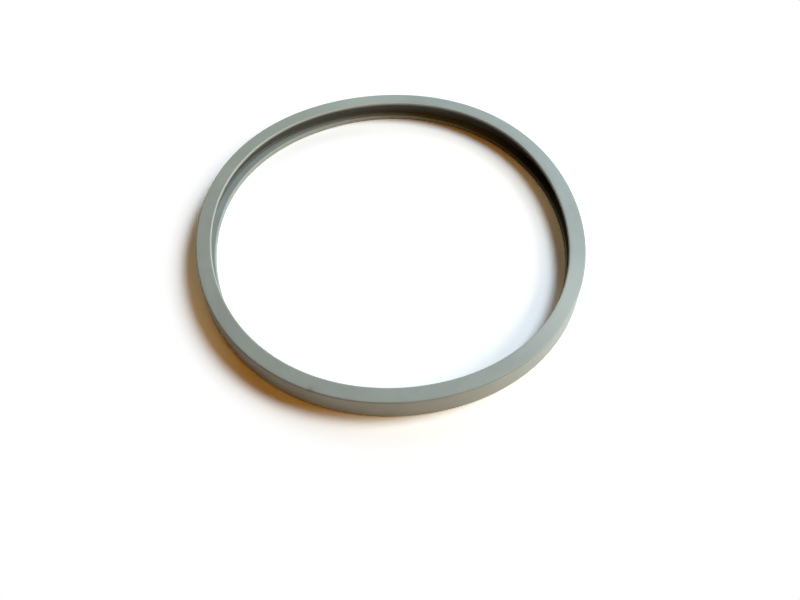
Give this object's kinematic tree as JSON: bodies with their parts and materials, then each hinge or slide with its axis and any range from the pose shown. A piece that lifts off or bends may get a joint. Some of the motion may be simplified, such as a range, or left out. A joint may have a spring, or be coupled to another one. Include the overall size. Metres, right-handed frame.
{
  "type": "tail light lens gasket",
  "caption": "Round moulded rubber ring of U-shaped section, open to the middle; its groove grips the rim of a round lamp lens and seals it against the housing.",
  "frame": {"origin": "centre of the ring, on the flat face of the seat lip that it lies on", "axes": "+Z along the ring's axis, from the seat lip to the front lip; X and Y across the ring"},
  "size_m": [0.1, 0.1, 0.0068],
  "materials": {
    "rubber": "satin, smooth moulded rubber"
  },
  "bodies": {
    "root": {"lens_gasket": "rubber"}
  },
  "joints": []
}
